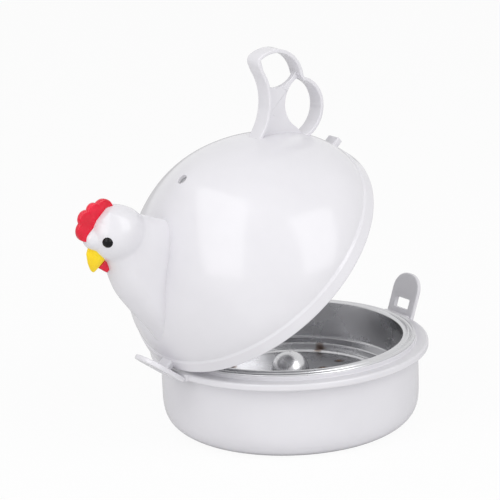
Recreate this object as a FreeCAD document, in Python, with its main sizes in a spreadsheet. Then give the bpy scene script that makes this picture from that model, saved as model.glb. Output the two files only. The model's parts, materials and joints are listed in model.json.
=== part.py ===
import FreeCAD, Part
import Sketcher
import os
from math import atan2, cos, pi, sin, sqrt

# Hen-shaped microwave egg boiler, lid part open.  Millimetres, +Z up, the hen faces -Y and is
# symmetrical about x = 0.  The origin is the centre of the cup's flat underside.
# Everything that rides on the lid is drawn with the lid shut and then swung open with it.

V = FreeCAD.Vector
doc = FreeCAD.newDocument("EggBoiler")

SIZES = {
    # base cup
    "cup_height": 40.3,
    "cup_radius": 62.9,
    "foot_radius": 53.4,
    "cup_bend_height": 28.8,
    "cup_bend_rise": 6.16,
    "cup_bend_run": 1.11,
    "cup_wall": 2.3,
    "cup_floor": 2.5,
    "flange_radius": 68.0,
    "flange_depth": 3.5,
    "flange_edge": 1.0,
    "collar_radius": 62.0,
    "collar_rise": 2.0,
    # hinges of the two clips
    "hinge_reach": 70.2,
    "hinge_drop": 1.8,
    "hinge_gap": 0.1,
    "lug_width": 19.0,
    # pressed aluminium egg pan
    "sheet_metal": 0.8,
    "pan_rim_radius": 61.8,
    "pan_bead": 0.7,
    "pan_radius": 56.4,
    "pan_ledge_height": 24.4,
    "pan_ledge_drop": 1.4,
    "pan_well_radius": 50.0,
    "pan_ring_radius": 47.4,
    "pan_ring_half": 1.3,
    "pan_ring_rise": 1.0,
    "pan_floor_height": 19.6,
    "pan_dome_radius": 9.5,
    "pan_dome_lift": 5.6,
    "pan_dome_flat": 0.5,
    "pan_dome_flare": 15.0,
    "pan_flare_sag": 1.6,
    "steam_hole": 2.0,
    "steam_ring_inner": 24.7,
    "steam_turn_inner": 101.7,
    "steam_ring_middle": 37.8,
    "steam_turn_middle": 102.8,
    "steam_ring_outer": 48.3,
    "steam_turn_outer": 125.4,
    "steam_count": 4,
    # lid shell
    "lid_gap": 0.3,
    "lid_wall": 2.0,
    "lid_band_height": 5.7,
    "lid_band_radius": 66.7,
    "dome_radius": 65.8,
    "dome_foot": 1.5,
    "dome_rise": 54.7,
    "dome_power_rise": 1.61,
    "dome_power_run": 1.46,
    "vent_radius": 2.5,
    "lid_opening": 41.18,
    # keepers that the clips' windows snap over
    "nub_reach": 3.6,
    "nub_width": 8.0,
    "nub_drop": 4.5,
    "nub_height": 3.5,
    "nub_ramp": 1.6,
    # reflector inside the lid
    "liner_gap": 0.3,
    "liner_vent": 4.0,
    # clips
    "clip_width": 19.0,
    "clip_length": 21.5,
    "clip_thick": 2.4,
    "clip_round": 8.5,
    "window_width": 10.5,
    "window_height": 5.0,
    "window_foot": 3.7,
    "rear_clip_lean": 20.0,
    "front_clip_lean": 13.0,
    # tail-feather handle
    "handle_width": 9.0,
    "ribbon": 1.8,
    "web_thick": 2.4,
    "post_y": 37.0,
    "post_z": 109.7,
    "post_radius": 26.1,
    "post_foot_turn": -90.0,
    "post_top_turn": -9.0,
    "tip_rise": 0.9,
    "lobe_one_y": 64.6,
    "lobe_one_z": 95.2,
    "lobe_one_radius": 17.0,
    "lobe_one_start": 81.0,
    "lobe_one_end": -32.0,
    "lobe_two_y": 64.9,
    "lobe_two_z": 76.4,
    "lobe_two_radius": 15.8,
    "lobe_two_start": 32.0,
    "lobe_two_end": -118.0,
    "tip_y": 64.2,
    "tip_z": 109.8,
    "strip_top": 89.8,
    "strip_thick": 2.0,
    "strip_start": 67.5,
    "web_edge_y": 61.4,
    "web_edge_z": 97.5,
    "web_edge_radius": 13.2,
    "web_corner_y": 69.8,
    "web_side_radius": 13.5,
    "web_side_y": 71.6,
    "web_foot_y": 60.4,
    "web_foot_z": 66.6,
    # neck and head
    "neck_half": 9.6,
    "neck_flat": 10.0,
    "neck_flat_chin": 6.0,
    "neck_flat_top": 1.0,
    "neck_front_foot": 64.6,
    "neck_front_low": 62.5,
    "neck_front_mid": 62.1,
    "neck_front_high": 60.9,
    "neck_front_chin": 56.7,
    "neck_front_top": 50.5,
    "neck_back_foot": 10.0,
    "neck_back_low": 10.0,
    "neck_back_mid": 11.0,
    "neck_back_high": 17.2,
    "neck_back_chin": 23.4,
    "neck_back_top": 30.8,
    "neck_foot_height": 50.0,
    "neck_low_height": 62.0,
    "neck_mid_height": 80.0,
    "neck_high_height": 92.0,
    "neck_chin_height": 103.3,
    "neck_top_height": 116.5,
    "ball_radius": 12.8,
    "ball_y": -42.6,
    "ball_z": 114.3,
    "brow_radius": 4.8,
    "brow_y": -51.2,
    "brow_z": 121.5,
    "seat_gap": 0.05,
    # comb
    "comb_thick": 3.0,
    "comb_rear_y": -34.6,
    "comb_rear_z": 123.4,
    "comb_notch_one_y": -38.2,
    "comb_notch_one_z": 132.2,
    "comb_notch_two_y": -43.6,
    "comb_notch_two_z": 133.8,
    "comb_notch_three_y": -50.9,
    "comb_notch_three_z": 132.6,
    "comb_front_y": -54.6,
    "comb_front_z": 123.9,
    "comb_lobe_one": 3.3,
    "comb_lobe_two": 1.4,
    "comb_lobe_three": 2.2,
    "comb_lobe_four": 3.1,
    # beak
    "beak_root_y": -50.0,
    "beak_middle_y": -58.3,
    "beak_tip_y": -62.2,
    "beak_root_half": 5.0,
    "beak_middle_half": 3.4,
    "beak_tip_half": 1.2,
    "beak_root_top": 123.5,
    "beak_middle_top": 119.4,
    "beak_tip_top": 112.8,
    "beak_under": 109.9,
    "beak_ridge": 0.6,
    "beak_cheek": 0.5,
    # wattle
    "wattle_thick": 2.5,
    "wattle_gap": 0.2,
    "wattle_front_y": -59.0,
    "wattle_low_y": -58.0,
    "wattle_low_z": 104.2,
    "wattle_heel": 1.5,
    # eyes
    "eye_radius": 3.0,
    "eye_depth": 10.9,
    "eye_turn": 50.8,
    "eye_lift": 25.5,
}

# Sizes that follow from the ones above.
WORKED = {
    "flange_under": "=cup_height-flange_depth",
    "collar_top": "=cup_height+collar_rise",
    "cup_bore": "=cup_radius-cup_wall",
    "hinge_height": "=cup_height-hinge_drop",
    "lug_reach": "=hinge_reach-clip_thick/2-hinge_gap",
    "lug_root": "=cup_radius+1",
    "pan_wall_inner": "=pan_radius-sheet_metal",
    "pan_bead_middle": "=collar_top+pan_bead",
    "pan_bead_radius": "=pan_rim_radius-pan_bead",
    "pan_rim_edge": "=pan_rim_radius-pan_bead*2",
    "pan_well_height": "=pan_ledge_height-pan_ledge_drop",
    "pan_dome_middle": "=pan_floor_height+pan_dome_lift",
    "pan_dome_top": "=pan_dome_middle+pan_dome_radius",
    "steam_hole_radius": "=steam_hole/2",
    "steam_inner_x": "=steam_ring_inner*cos(steam_turn_inner)",
    "steam_inner_y": "=steam_ring_inner*sin(steam_turn_inner)",
    "steam_middle_x": "=steam_ring_middle*cos(steam_turn_middle)",
    "steam_middle_y": "=steam_ring_middle*sin(steam_turn_middle)",
    "steam_outer_x": "=steam_ring_outer*cos(steam_turn_outer)",
    "steam_outer_y": "=steam_ring_outer*sin(steam_turn_outer)",
    "lid_foot": "=cup_height+lid_gap",
    "band_top": "=lid_foot+lid_band_height",
    "dome_base": "=band_top+dome_foot",
    "dome_bore": "=dome_radius-lid_wall",
    "dome_rise_inner": "=dome_rise-lid_wall",
    "liner_radius": "=dome_bore-liner_gap",
    "liner_rise": "=dome_rise_inner-liner_gap",
    "liner_bore": "=liner_radius-sheet_metal",
    "liner_rise_inner": "=liner_rise-sheet_metal",
    "seat_band": "=lid_band_radius+seat_gap",
    "seat_radius": "=dome_radius+seat_gap",
    "seat_rise": "=dome_rise+seat_gap",
    "dome_mouth": "=dome_base+dome_rise*"
                  "(1-(vent_radius/dome_radius)^dome_power_run)^(1/dome_power_rise)",
    "dome_mouth_inner": "=dome_base+dome_rise_inner*"
                        "(1-(vent_radius/dome_bore)^dome_power_run)^(1/dome_power_rise)",
    "liner_mouth": "=dome_base+liner_rise*"
                   "(1-(liner_vent/liner_radius)^dome_power_run)^(1/dome_power_rise)",
    "liner_mouth_inner": "=dome_base+liner_rise_inner*"
                         "(1-(liner_vent/liner_bore)^dome_power_run)^(1/dome_power_rise)",
    "seat_mouth": "=dome_base+seat_rise*"
                  "(1-(vent_radius/seat_radius)^dome_power_run)^(1/dome_power_rise)",
    "nub_foot": "=hinge_height+nub_drop",
    "nub_top": "=nub_foot+nub_height",
    "nub_tip": "=flange_radius+nub_reach",
    "nub_shoulder": "=nub_tip-nub_ramp",
    "nub_chest": "=nub_foot+nub_height*0.55",
    "nub_root": "=dome_bore+1",
    "barrel_radius": "=clip_thick/2",
    "clip_half": "=clip_width/2",
    "clip_shoulder": "=clip_length-clip_round",
    "clip_crown": "=clip_half-clip_round",
    "window_half": "=window_width/2",
    "window_top": "=window_foot+window_height",
    "lid_shift_y": "=hinge_height*sin(lid_opening)-hinge_reach*(1-cos(lid_opening))",
    "lid_shift_z": "=hinge_height*(1-cos(lid_opening))+hinge_reach*sin(lid_opening)",
    "front_clip_turn": "=lid_opening+front_clip_lean",
    "post_foot_y": "=post_y+post_radius*cos(post_foot_turn)",
    "post_foot_z": "=post_z+post_radius*sin(post_foot_turn)",
    "post_top_y": "=post_y+post_radius*cos(post_top_turn)",
    "post_top_z": "=post_z+post_radius*sin(post_top_turn)",
    "post_back": "=post_radius+ribbon",
    "post_back_foot_y": "=post_y+post_back*cos(post_foot_turn)",
    "post_back_foot_z": "=post_z+post_back*sin(post_foot_turn)",
    "post_back_top_y": "=post_y+post_back*cos(post_top_turn)",
    "post_back_top_z": "=post_z+post_back*sin(post_top_turn)",
    "one_start_y": "=lobe_one_y+lobe_one_radius*cos(lobe_one_start)",
    "one_start_z": "=lobe_one_z+lobe_one_radius*sin(lobe_one_start)",
    "one_end_y": "=lobe_one_y+lobe_one_radius*cos(lobe_one_end)",
    "one_end_z": "=lobe_one_z+lobe_one_radius*sin(lobe_one_end)",
    "one_inner": "=lobe_one_radius-ribbon",
    "one_inner_start_y": "=lobe_one_y+one_inner*cos(lobe_one_start)",
    "one_inner_start_z": "=lobe_one_z+one_inner*sin(lobe_one_start)",
    "one_inner_end_y": "=lobe_one_y+one_inner*cos(lobe_one_end)",
    "one_inner_end_z": "=lobe_one_z+one_inner*sin(lobe_one_end)",
    "one_band": "=lobe_one_radius-ribbon/2",
    "one_band_start_y": "=lobe_one_y+one_band*cos(lobe_one_start)",
    "one_band_start_z": "=lobe_one_z+one_band*sin(lobe_one_start)",
    "one_band_end_y": "=lobe_one_y+one_band*cos(lobe_one_end)",
    "one_band_end_z": "=lobe_one_z+one_band*sin(lobe_one_end)",
    "two_start_y": "=lobe_two_y+lobe_two_radius*cos(lobe_two_start)",
    "two_start_z": "=lobe_two_z+lobe_two_radius*sin(lobe_two_start)",
    "two_end_y": "=lobe_two_y+lobe_two_radius*cos(lobe_two_end)",
    "two_end_z": "=lobe_two_z+lobe_two_radius*sin(lobe_two_end)",
    "two_inner": "=lobe_two_radius-ribbon",
    "two_inner_start_y": "=lobe_two_y+two_inner*cos(lobe_two_start)",
    "two_inner_start_z": "=lobe_two_z+two_inner*sin(lobe_two_start)",
    "two_inner_end_y": "=lobe_two_y+two_inner*cos(lobe_two_end)",
    "two_inner_end_z": "=lobe_two_z+two_inner*sin(lobe_two_end)",
    "two_band": "=lobe_two_radius-ribbon/2",
    "two_band_start_y": "=lobe_two_y+two_band*cos(lobe_two_start)",
    "two_band_start_z": "=lobe_two_z+two_band*sin(lobe_two_start)",
    "two_band_end_y": "=lobe_two_y+two_band*cos(lobe_two_end)",
    "two_band_end_z": "=lobe_two_z+two_band*sin(lobe_two_end)",
    "strip_under": "=strip_top-strip_thick",
    "strip_middle": "=strip_top-strip_thick/2",
    "post_band": "=post_radius+ribbon/2",
    "post_band_top_y": "=post_y+post_band*cos(post_top_turn)",
    "post_band_top_z": "=post_z+post_band*sin(post_top_turn)",
    "eye_x": "=eye_depth*cos(eye_lift)*sin(eye_turn)",
    "eye_y": "=ball_y-eye_depth*cos(eye_lift)*cos(eye_turn)",
    "eye_z": "=ball_z+eye_depth*sin(eye_lift)",
    "wattle_top": "=beak_under-wattle_gap",
    "wattle_heel_z": "=wattle_low_z+wattle_heel",
}

sheet = doc.addObject("Spreadsheet::Sheet", "Sizes")
for row, (name, amount) in enumerate(list(SIZES.items()) + list(WORKED.items()), 1):
    sheet.set("A%d" % row, name)
    sheet.set("B%d" % row, str(amount))
    sheet.setAlias("B%d" % row, name)
doc.recompute()


def value(text):
    """What a sum of sheet cells, such as 'cup_radius - cup_wall', comes to."""
    total = 0.0
    sign = 1.0
    for word in text.split():
        if word in ("+", "-"):
            sign = 1.0 if word == "+" else -1.0
        elif word[0].isalpha():
            total += sign * float(sheet.get(word))
        else:
            total += sign * float(word)
    return total


def cells(text):
    """The same sum as an expression on the sheet."""
    return " ".join("Sizes." + word if word[0].isalpha() else word for word in text.split())


def new_body(label):
    body = doc.addObject("PartDesign::Body", label)
    body.Label = label
    return body


def plane_of(body, role):
    return [item for item in body.Origin.OriginFeatures if item.Role == role][0]


def blank_sketch(body, name, role, offset=None):
    sketch = body.newObject("Sketcher::SketchObject", name)
    sketch.AttachmentSupport = [(plane_of(body, role), "")]
    sketch.MapMode = "FlatFace"
    if offset:
        sketch.AttachmentOffset = FreeCAD.Placement(V(0, 0, value(offset)), FreeCAD.Rotation())
        sketch.setExpression("AttachmentOffset.Base.z", cells(offset))
    return sketch


def tie(sketch, kind, element, point, text):
    """Holds one coordinate of a point to a sum of cells."""
    number = sketch.addConstraint(Sketcher.Constraint(kind, -1, 1, element, point, value(text)))
    sketch.setExpression("Constraints[%d]" % number, cells(text))


def draw(body, name, role, corners, bends=None, offset=None):
    """A closed outline through corners, each a pair of sums of cells.  bends maps a corner's number
    to what runs from it to the next corner, where that isn't a straight line:
    ("radius", sum, side) an arc whose centre lies left (1) or right (-1) of the way,
    ("rise", sum, side) an arc that stands out by that much to the left (1) or right (-1),
    ("half", sum, side) a half circle to the left or right of a level way at that height,
    ("through", points) a spline through those points."""
    sketch = blank_sketch(body, name, role, offset)
    bends = bends or {}
    spots = [V(value(x), value(y), 0) for x, y in corners]
    count = len(spots)
    ends = []
    for i, start in enumerate(spots):
        end = spots[(i + 1) % count]
        bend = bends.get(i)
        if bend is None:
            sketch.addGeometry(Part.LineSegment(start, end), False)
            ends.append((1, 2))
        elif bend[0] == "through":
            curve = Part.BSplineCurve()
            curve.interpolate([start] + [V(x, y, 0) for x, y in bend[1]] + [end])
            sketch.addGeometry(curve, False)
            ends.append((1, 2))
        else:
            chord = end - start
            across = V(-chord.y, chord.x, 0).normalize()
            if bend[0] == "half":
                radius = chord.Length / 2
                side = -bend[2]
                reach = 0
            elif bend[0] == "rise":
                rise = value(bend[1])
                radius = chord.Length ** 2 / 8 / rise + rise / 2
                side = -bend[2]
                reach = radius - rise
            else:
                radius = value(bend[1])
                side = bend[2]
                reach = sqrt(radius ** 2 - chord.Length ** 2 / 4)
            centre = start + chord * 0.5 + across * reach * side
            first, last = (start, end) if side > 0 else (end, start)
            opening = atan2(first.y - centre.y, first.x - centre.x)
            closing = atan2(last.y - centre.y, last.x - centre.x)
            if closing < opening:
                closing += 2 * pi
            circle = Part.Circle(centre, V(0, 0, 1), radius)
            sketch.addGeometry(Part.ArcOfCircle(circle, opening, closing), False)
            ends.append((1, 2) if side > 0 else (2, 1))
    for i in range(count):
        after = (i + 1) % count
        sketch.addConstraint(Sketcher.Constraint("Coincident", i, ends[i][1], after, ends[after][0]))
    for i, (x, y) in enumerate(corners):
        tie(sketch, "DistanceX", i, ends[i][0], x)
        tie(sketch, "DistanceY", i, ends[i][0], y)
    for i, bend in bends.items():
        if bend[0] == "through":
            continue
        if bend[0] == "half":
            tie(sketch, "DistanceY", i, 3, bend[1])
            continue
        here, there = corners[i], corners[(i + 1) % count]
        number = sketch.addConstraint(Sketcher.Constraint("Radius", i, sketch.Geometry[i].Radius))
        if bend[0] == "radius":
            sketch.setExpression("Constraints[%d]" % number, cells(bend[1]))
        else:
            run = "(%s - (%s))^2 + (%s - (%s))^2" % (
                cells(there[0]), cells(here[0]), cells(there[1]), cells(here[1]))
            rise = cells(bend[1])
            sketch.setExpression("Constraints[%d]" % number,
                                 "(%s) / (8 * (%s)) + (%s) / 2" % (run, rise, rise))
    return sketch


def ring(body, name, role, centre, radius):
    """A full circle."""
    sketch = blank_sketch(body, name, role)
    middle = V(value(centre[0]), value(centre[1]), 0)
    sketch.addGeometry(Part.Circle(middle, V(0, 0, 1), value(radius)), False)
    tie(sketch, "DistanceX", 0, 3, centre[0])
    tie(sketch, "DistanceY", 0, 3, centre[1])
    number = sketch.addConstraint(Sketcher.Constraint("Radius", 0, value(radius)))
    sketch.setExpression("Constraints[%d]" % number, cells(radius))
    return sketch


def turn(body, name, sketch):
    """Turns an outline all the way round the body's own Z axis."""
    feature = body.newObject("PartDesign::Revolution", name)
    feature.Profile = sketch
    feature.ReferenceAxis = (sketch, ["V_Axis"])
    feature.Angle = 360
    return feature


def pad(body, name, sketch, thickness):
    """Thickens an outline equally to both sides."""
    feature = body.newObject("PartDesign::Pad", name)
    feature.Profile = sketch
    feature.SideType = "Symmetric"
    feature.Length = value(thickness)
    feature.setExpression("Length", cells(thickness))
    return feature


def cut_through(body, name, sketch, depth):
    """Cuts an outline out to both sides."""
    feature = body.newObject("PartDesign::Pocket", name)
    feature.Profile = sketch
    feature.SideType = "Symmetric"
    feature.Length = value(depth)
    feature.setExpression("Length", cells(depth))
    return feature


def mirror(body, name, feature, role):
    copy = body.newObject("PartDesign::Mirrored", name)
    copy.Originals = [feature]
    copy.MirrorPlane = (plane_of(body, role), [""])
    body.Tip = copy
    return copy


def ball(body, name, radius, middle, cut=False):
    kind = "PartDesign::SubtractiveSphere" if cut else "PartDesign::AdditiveSphere"
    sphere = body.newObject(kind, name)
    sphere.AttachmentSupport = [(plane_of(body, "XY_Plane"), "")]
    sphere.MapMode = "FlatFace"
    sphere.setExpression("Radius", cells(radius))
    for axis, text in zip("xyz", middle):
        sphere.setExpression("AttachmentOffset.Base." + axis, cells(text))
    return sphere


def bowl_curve(radius, foot, rise, lift, shrink):
    """Points up the bend of the cup: r = foot + (radius - foot)(1 - u^rise_power)^(1/run_power),
    where u falls from 1 at the foot to 0 where the wall turns upright."""
    p, q = value("cup_bend_rise"), value("cup_bend_run")
    points = []
    for u in (0.97, 0.92, 0.85, 0.75, 0.6, 0.4, 0.2):
        out = foot + (radius - foot) * (1 - u ** p) ** (1 / q)
        points.append((out - shrink, lift + rise * (1 - u)))
    return points


def dome_curve(radius, rise, vent, steps=9):
    """Points up the lid's dome from its foot to the vent: r = radius (1 - u^a)^(1/b), u the
    share of the rise.  Returns the points between the ends, and the height at the vent."""
    a, b = value("dome_power_rise"), value("dome_power_run")
    base = value("dome_base")
    last = (1 - (vent / radius) ** b) ** (1 / a)
    points = []
    for i in range(1, steps):
        u = last * sin(pi / 2 * i / steps)
        points.append((radius * (1 - u ** a) ** (1 / b), base + rise * u))
    return points, base + rise * last


def open_with_lid(piece):
    """Swings a piece that is drawn with the lid shut to the open lid."""
    piece.Placement = FreeCAD.Placement(V(0, 0, 0), FreeCAD.Rotation(V(1, 0, 0), 10))
    piece.setExpression("Placement.Rotation.Angle", "Sizes.lid_opening")
    piece.setExpression("Placement.Base.y", "Sizes.lid_shift_y")
    piece.setExpression("Placement.Base.z", "Sizes.lid_shift_z")


# ---- base cup: one injection moulding with a flange, a collar for the pan and two hinge lugs
cup = new_body("base_cup")
outer = bowl_curve(value("cup_radius"), value("foot_radius"), value("cup_bend_height"), 0, 0)
inner = bowl_curve(value("cup_radius"), value("foot_radius"), value("cup_bend_height"),
                   value("cup_floor"), value("cup_wall"))
sketch = draw(cup, "CupProfile", "XZ_Plane", [
    ("0", "0"),
    ("foot_radius", "0"),
    ("cup_radius", "cup_bend_height"),
    ("cup_radius", "flange_under"),
    ("flange_radius - flange_edge", "flange_under"),
    ("flange_radius", "flange_under + flange_edge"),
    ("flange_radius", "cup_height - flange_edge"),
    ("flange_radius - flange_edge", "cup_height"),
    ("collar_radius", "cup_height"),
    ("collar_radius", "collar_top"),
    ("cup_bore", "collar_top"),
    ("cup_bore", "cup_bend_height + cup_floor"),
    ("foot_radius - cup_wall", "cup_floor"),
    ("0", "cup_floor"),
], {
    1: ("through", outer),
    4: ("radius", "flange_edge", 1),
    6: ("radius", "flange_edge", 1),
    11: ("through", inner[::-1]),
})
turn(cup, "Cup", sketch)
sketch = draw(cup, "LugProfile", "YZ_Plane", [
    ("lug_root", "flange_under"),
    ("lug_reach", "flange_under"),
    ("lug_reach", "cup_height"),
    ("lug_root", "cup_height"),
])
lug = pad(cup, "RearLug", sketch, "lug_width")
mirror(cup, "FrontLug", lug, "XZ_Plane")

# ---- egg pan: one pressing of aluminium sheet, rolled rim, ledge, well, steam dome and holes
pan = new_body("egg_pan")
sketch = draw(pan, "PanProfile", "XZ_Plane", [
    ("0", "pan_dome_top"),
    ("pan_dome_flat", "pan_dome_top"),
    ("pan_dome_radius", "pan_dome_middle"),
    ("pan_dome_flare", "pan_floor_height"),
    ("pan_ring_radius - pan_ring_half", "pan_floor_height"),
    ("pan_ring_radius + pan_ring_half", "pan_floor_height"),
    ("pan_well_radius", "pan_floor_height"),
    ("pan_well_radius", "pan_well_height"),
    ("pan_wall_inner", "pan_ledge_height"),
    ("pan_wall_inner", "collar_top"),
    ("pan_radius", "collar_top + sheet_metal"),
    ("pan_rim_edge", "collar_top + sheet_metal"),
    ("pan_rim_radius", "pan_bead_middle"),
    ("pan_bead_radius", "collar_top"),
    ("pan_radius", "collar_top"),
    ("pan_radius", "pan_ledge_height - sheet_metal"),
    ("pan_well_radius + sheet_metal", "pan_well_height - sheet_metal"),
    ("pan_well_radius + sheet_metal", "pan_floor_height - sheet_metal"),
    ("pan_ring_radius + pan_ring_half", "pan_floor_height - sheet_metal"),
    ("pan_ring_radius - pan_ring_half", "pan_floor_height - sheet_metal"),
    ("pan_dome_flare", "pan_floor_height - sheet_metal"),
    ("pan_dome_radius - sheet_metal", "pan_dome_middle"),
    ("pan_dome_flat", "pan_dome_top - sheet_metal"),
    ("0", "pan_dome_top - sheet_metal"),
], {
    1: ("radius", "pan_dome_radius", -1),
    2: ("rise", "pan_flare_sag", -1),
    4: ("rise", "pan_ring_rise", 1),
    9: ("radius", "sheet_metal", -1),
    11: ("rise", "pan_bead", 1),
    12: ("radius", "pan_bead", -1),
    18: ("rise", "pan_ring_rise", -1),
    20: ("rise", "pan_flare_sag", 1),
    21: ("radius", "pan_dome_radius - sheet_metal", 1),
})
turn(pan, "Pan", sketch)
holes = []
for name in ("inner", "middle", "outer"):
    centre = ("steam_%s_x" % name, "steam_%s_y" % name)
    sketch = ring(pan, "Steam_" + name, "XY_Plane", centre, "steam_hole_radius")
    holes.append(cut_through(pan, "SteamHole_" + name, sketch, "pan_ledge_height + pan_ledge_height"))
pattern = pan.newObject("PartDesign::PolarPattern", "SteamHoles")
pattern.Originals = holes
pattern.Axis = ([item for item in pan.Origin.OriginFeatures if item.Role == "Z_Axis"][0], [""])
pattern.Angle = 360
pattern.Occurrences = int(value("steam_count"))
pattern.setExpression("Occurrences", "Sizes.steam_count")
pan.Tip = pattern

# ---- rear clip and front clip: moulded plates with a window, each on a hinge barrel


def make_clip(label):
    clip = new_body(label)
    sketch = draw(clip, label + "_plate", "XZ_Plane", [
        ("0 - clip_half", "0"),
        ("clip_half", "0"),
        ("clip_half", "clip_shoulder"),
        ("clip_crown", "clip_length"),
        ("0 - clip_crown", "clip_length"),
        ("0 - clip_half", "clip_shoulder"),
    ], {2: ("radius", "clip_round", 1), 4: ("radius", "clip_round", 1)})
    pad(clip, label + "_pad", sketch, "clip_thick")
    sketch = ring(clip, label + "_barrel", "YZ_Plane", ("0", "0"), "barrel_radius")
    pad(clip, label + "_pin", sketch, "clip_width")
    sketch = draw(clip, label + "_window", "XZ_Plane", [
        ("0 - window_half", "window_foot"),
        ("window_half", "window_foot"),
        ("window_half", "window_top"),
        ("0 - window_half", "window_top"),
    ])
    cut_through(clip, label + "_opening", sketch, "clip_thick + clip_thick")
    return clip


clip = make_clip("rear_clip")
clip.Placement = FreeCAD.Placement(V(0, 0, 0), FreeCAD.Rotation(V(-1, 0, 0), 10))
clip.setExpression("Placement.Rotation.Angle", "Sizes.rear_clip_lean")
clip.setExpression("Placement.Base.y", "Sizes.hinge_reach")
clip.setExpression("Placement.Base.z", "Sizes.hinge_height")

clip = make_clip("front_clip")
clip.Placement = FreeCAD.Placement(V(0, 0, 0), FreeCAD.Rotation(V(1, 0, 0), 10))
clip.setExpression("Placement.Rotation.Angle", "Sizes.front_clip_turn")
clip.setExpression("Placement.Base.y", "-Sizes.hinge_reach")
clip.setExpression("Placement.Base.z", "Sizes.hinge_height")

# ---- lid shell: the hen's body, a moulded dome over a band, a steam vent at the crown
lid = new_body("lid_shell")
outer, top = dome_curve(value("dome_radius"), value("dome_rise"), value("vent_radius"))
inner, under = dome_curve(value("dome_bore"), value("dome_rise_inner"), value("vent_radius"))
sketch = draw(lid, "LidProfile", "XZ_Plane", [
    ("dome_bore", "lid_foot"),
    ("flange_radius - flange_edge", "lid_foot"),
    ("flange_radius", "lid_foot + flange_edge"),
    ("lid_band_radius", "band_top"),
    ("dome_radius", "dome_base"),
    ("vent_radius", "dome_mouth"),
    ("vent_radius", "dome_mouth_inner"),
    ("dome_bore", "dome_base"),
], {
    1: ("radius", "flange_edge", 1),
    4: ("through", outer),
    6: ("through", inner[::-1]),
})
turn(lid, "Lid", sketch)
sketch = draw(lid, "NubProfile", "YZ_Plane", [
    ("nub_root", "nub_foot"),
    ("nub_tip", "nub_foot"),
    ("nub_tip", "nub_chest"),
    ("nub_shoulder", "nub_top"),
    ("nub_root", "nub_top"),
])
nub = pad(lid, "RearNub", sketch, "nub_width")
mirror(lid, "FrontNub", nub, "XZ_Plane")
open_with_lid(lid)

# ---- lid liner: spun aluminium reflector, held just under the dome
liner = new_body("lid_liner")
outer, top = dome_curve(value("liner_radius"), value("liner_rise"), value("liner_vent"))
inner, under = dome_curve(value("liner_bore"), value("liner_rise_inner"), value("liner_vent"))
sketch = draw(liner, "LinerProfile", "XZ_Plane", [
    ("liner_bore", "dome_base"),
    ("liner_radius", "dome_base"),
    ("liner_vent", "liner_mouth"),
    ("liner_vent", "liner_mouth_inner"),
], {1: ("through", outer), 3: ("through", inner[::-1])})
turn(liner, "Liner", sketch)
open_with_lid(liner)

# ---- the space that the dome takes, which the head and the handle sit on
dome = new_body("DomeForm")
seat, top = dome_curve(value("seat_radius"), value("seat_rise"), value("vent_radius"))
sketch = draw(dome, "SeatProfile", "XZ_Plane", [
    ("0", "0"),
    ("seat_band", "0"),
    ("seat_band", "band_top"),
    ("seat_radius", "dome_base"),
    ("vent_radius", "seat_mouth"),
    ("0", "seat_mouth"),
], {3: ("through", seat)})
turn(dome, "Seat", sketch)

# ---- tail handle: a ribbon bent into a post and two feather lobes, webbed across its root
handle = new_body("HandleForm")
outside = [
    ("post_foot_y", "post_foot_z"),
    ("post_top_y", "post_top_z"),
    ("tip_y", "tip_z"),
    ("one_start_y", "one_start_z"),
    ("one_end_y", "one_end_z"),
    ("two_start_y", "two_start_z"),
    ("two_end_y", "two_end_z"),
]
curves = {
    0: ("radius", "post_radius", 1),
    2: ("rise", "tip_rise", 1),
    3: ("radius", "lobe_one_radius", -1),
    5: ("radius", "lobe_two_radius", -1),
}
pad(handle, "Web", draw(handle, "WebOutline", "YZ_Plane", outside, curves), "web_thick")
sketch = draw(handle, "UpperHoleOutline", "YZ_Plane", [
    ("web_edge_y", "web_edge_z"),
    ("web_corner_y", "strip_middle"),
    ("one_band_end_y", "one_band_end_z"),
    ("one_band_start_y", "one_band_start_z"),
    ("post_band_top_y", "post_band_top_z"),
], {0: ("radius", "web_edge_radius", 1), 2: ("radius", "one_band", 1)})
cut_through(handle, "UpperHole", sketch, "handle_width")
sketch = draw(handle, "LowerHoleOutline", "YZ_Plane", [
    ("web_foot_y", "web_foot_z"),
    ("web_side_y", "strip_under - strip_thick"),
    ("two_band_start_y", "two_band_start_z"),
    ("two_band_end_y", "two_band_end_z"),
], {0: ("radius", "web_side_radius", -1), 2: ("radius", "two_band", -1)})
cut_through(handle, "LowerHole", sketch, "handle_width")
inside = [
    ("two_inner_end_y", "two_inner_end_z"),
    ("two_inner_start_y", "two_inner_start_z"),
    ("one_inner_end_y", "one_inner_end_z"),
    ("one_inner_start_y", "one_inner_start_z"),
    ("post_back_top_y", "post_back_top_z"),
    ("post_back_foot_y", "post_back_foot_z"),
]
curves.update({
    7: ("radius", "two_inner", 1),
    9: ("radius", "one_inner", 1),
    11: ("radius", "post_back", -1),
})
sketch = draw(handle, "RibbonOutline", "YZ_Plane", outside + inside, curves)
pad(handle, "Ribbon", sketch, "handle_width")
sketch = draw(handle, "StripOutline", "YZ_Plane", [
    ("strip_start", "strip_under"),
    ("one_end_y", "strip_under"),
    ("one_end_y", "strip_top"),
    ("strip_start", "strip_top"),
])
pad(handle, "Strip", sketch, "handle_width")

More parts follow.
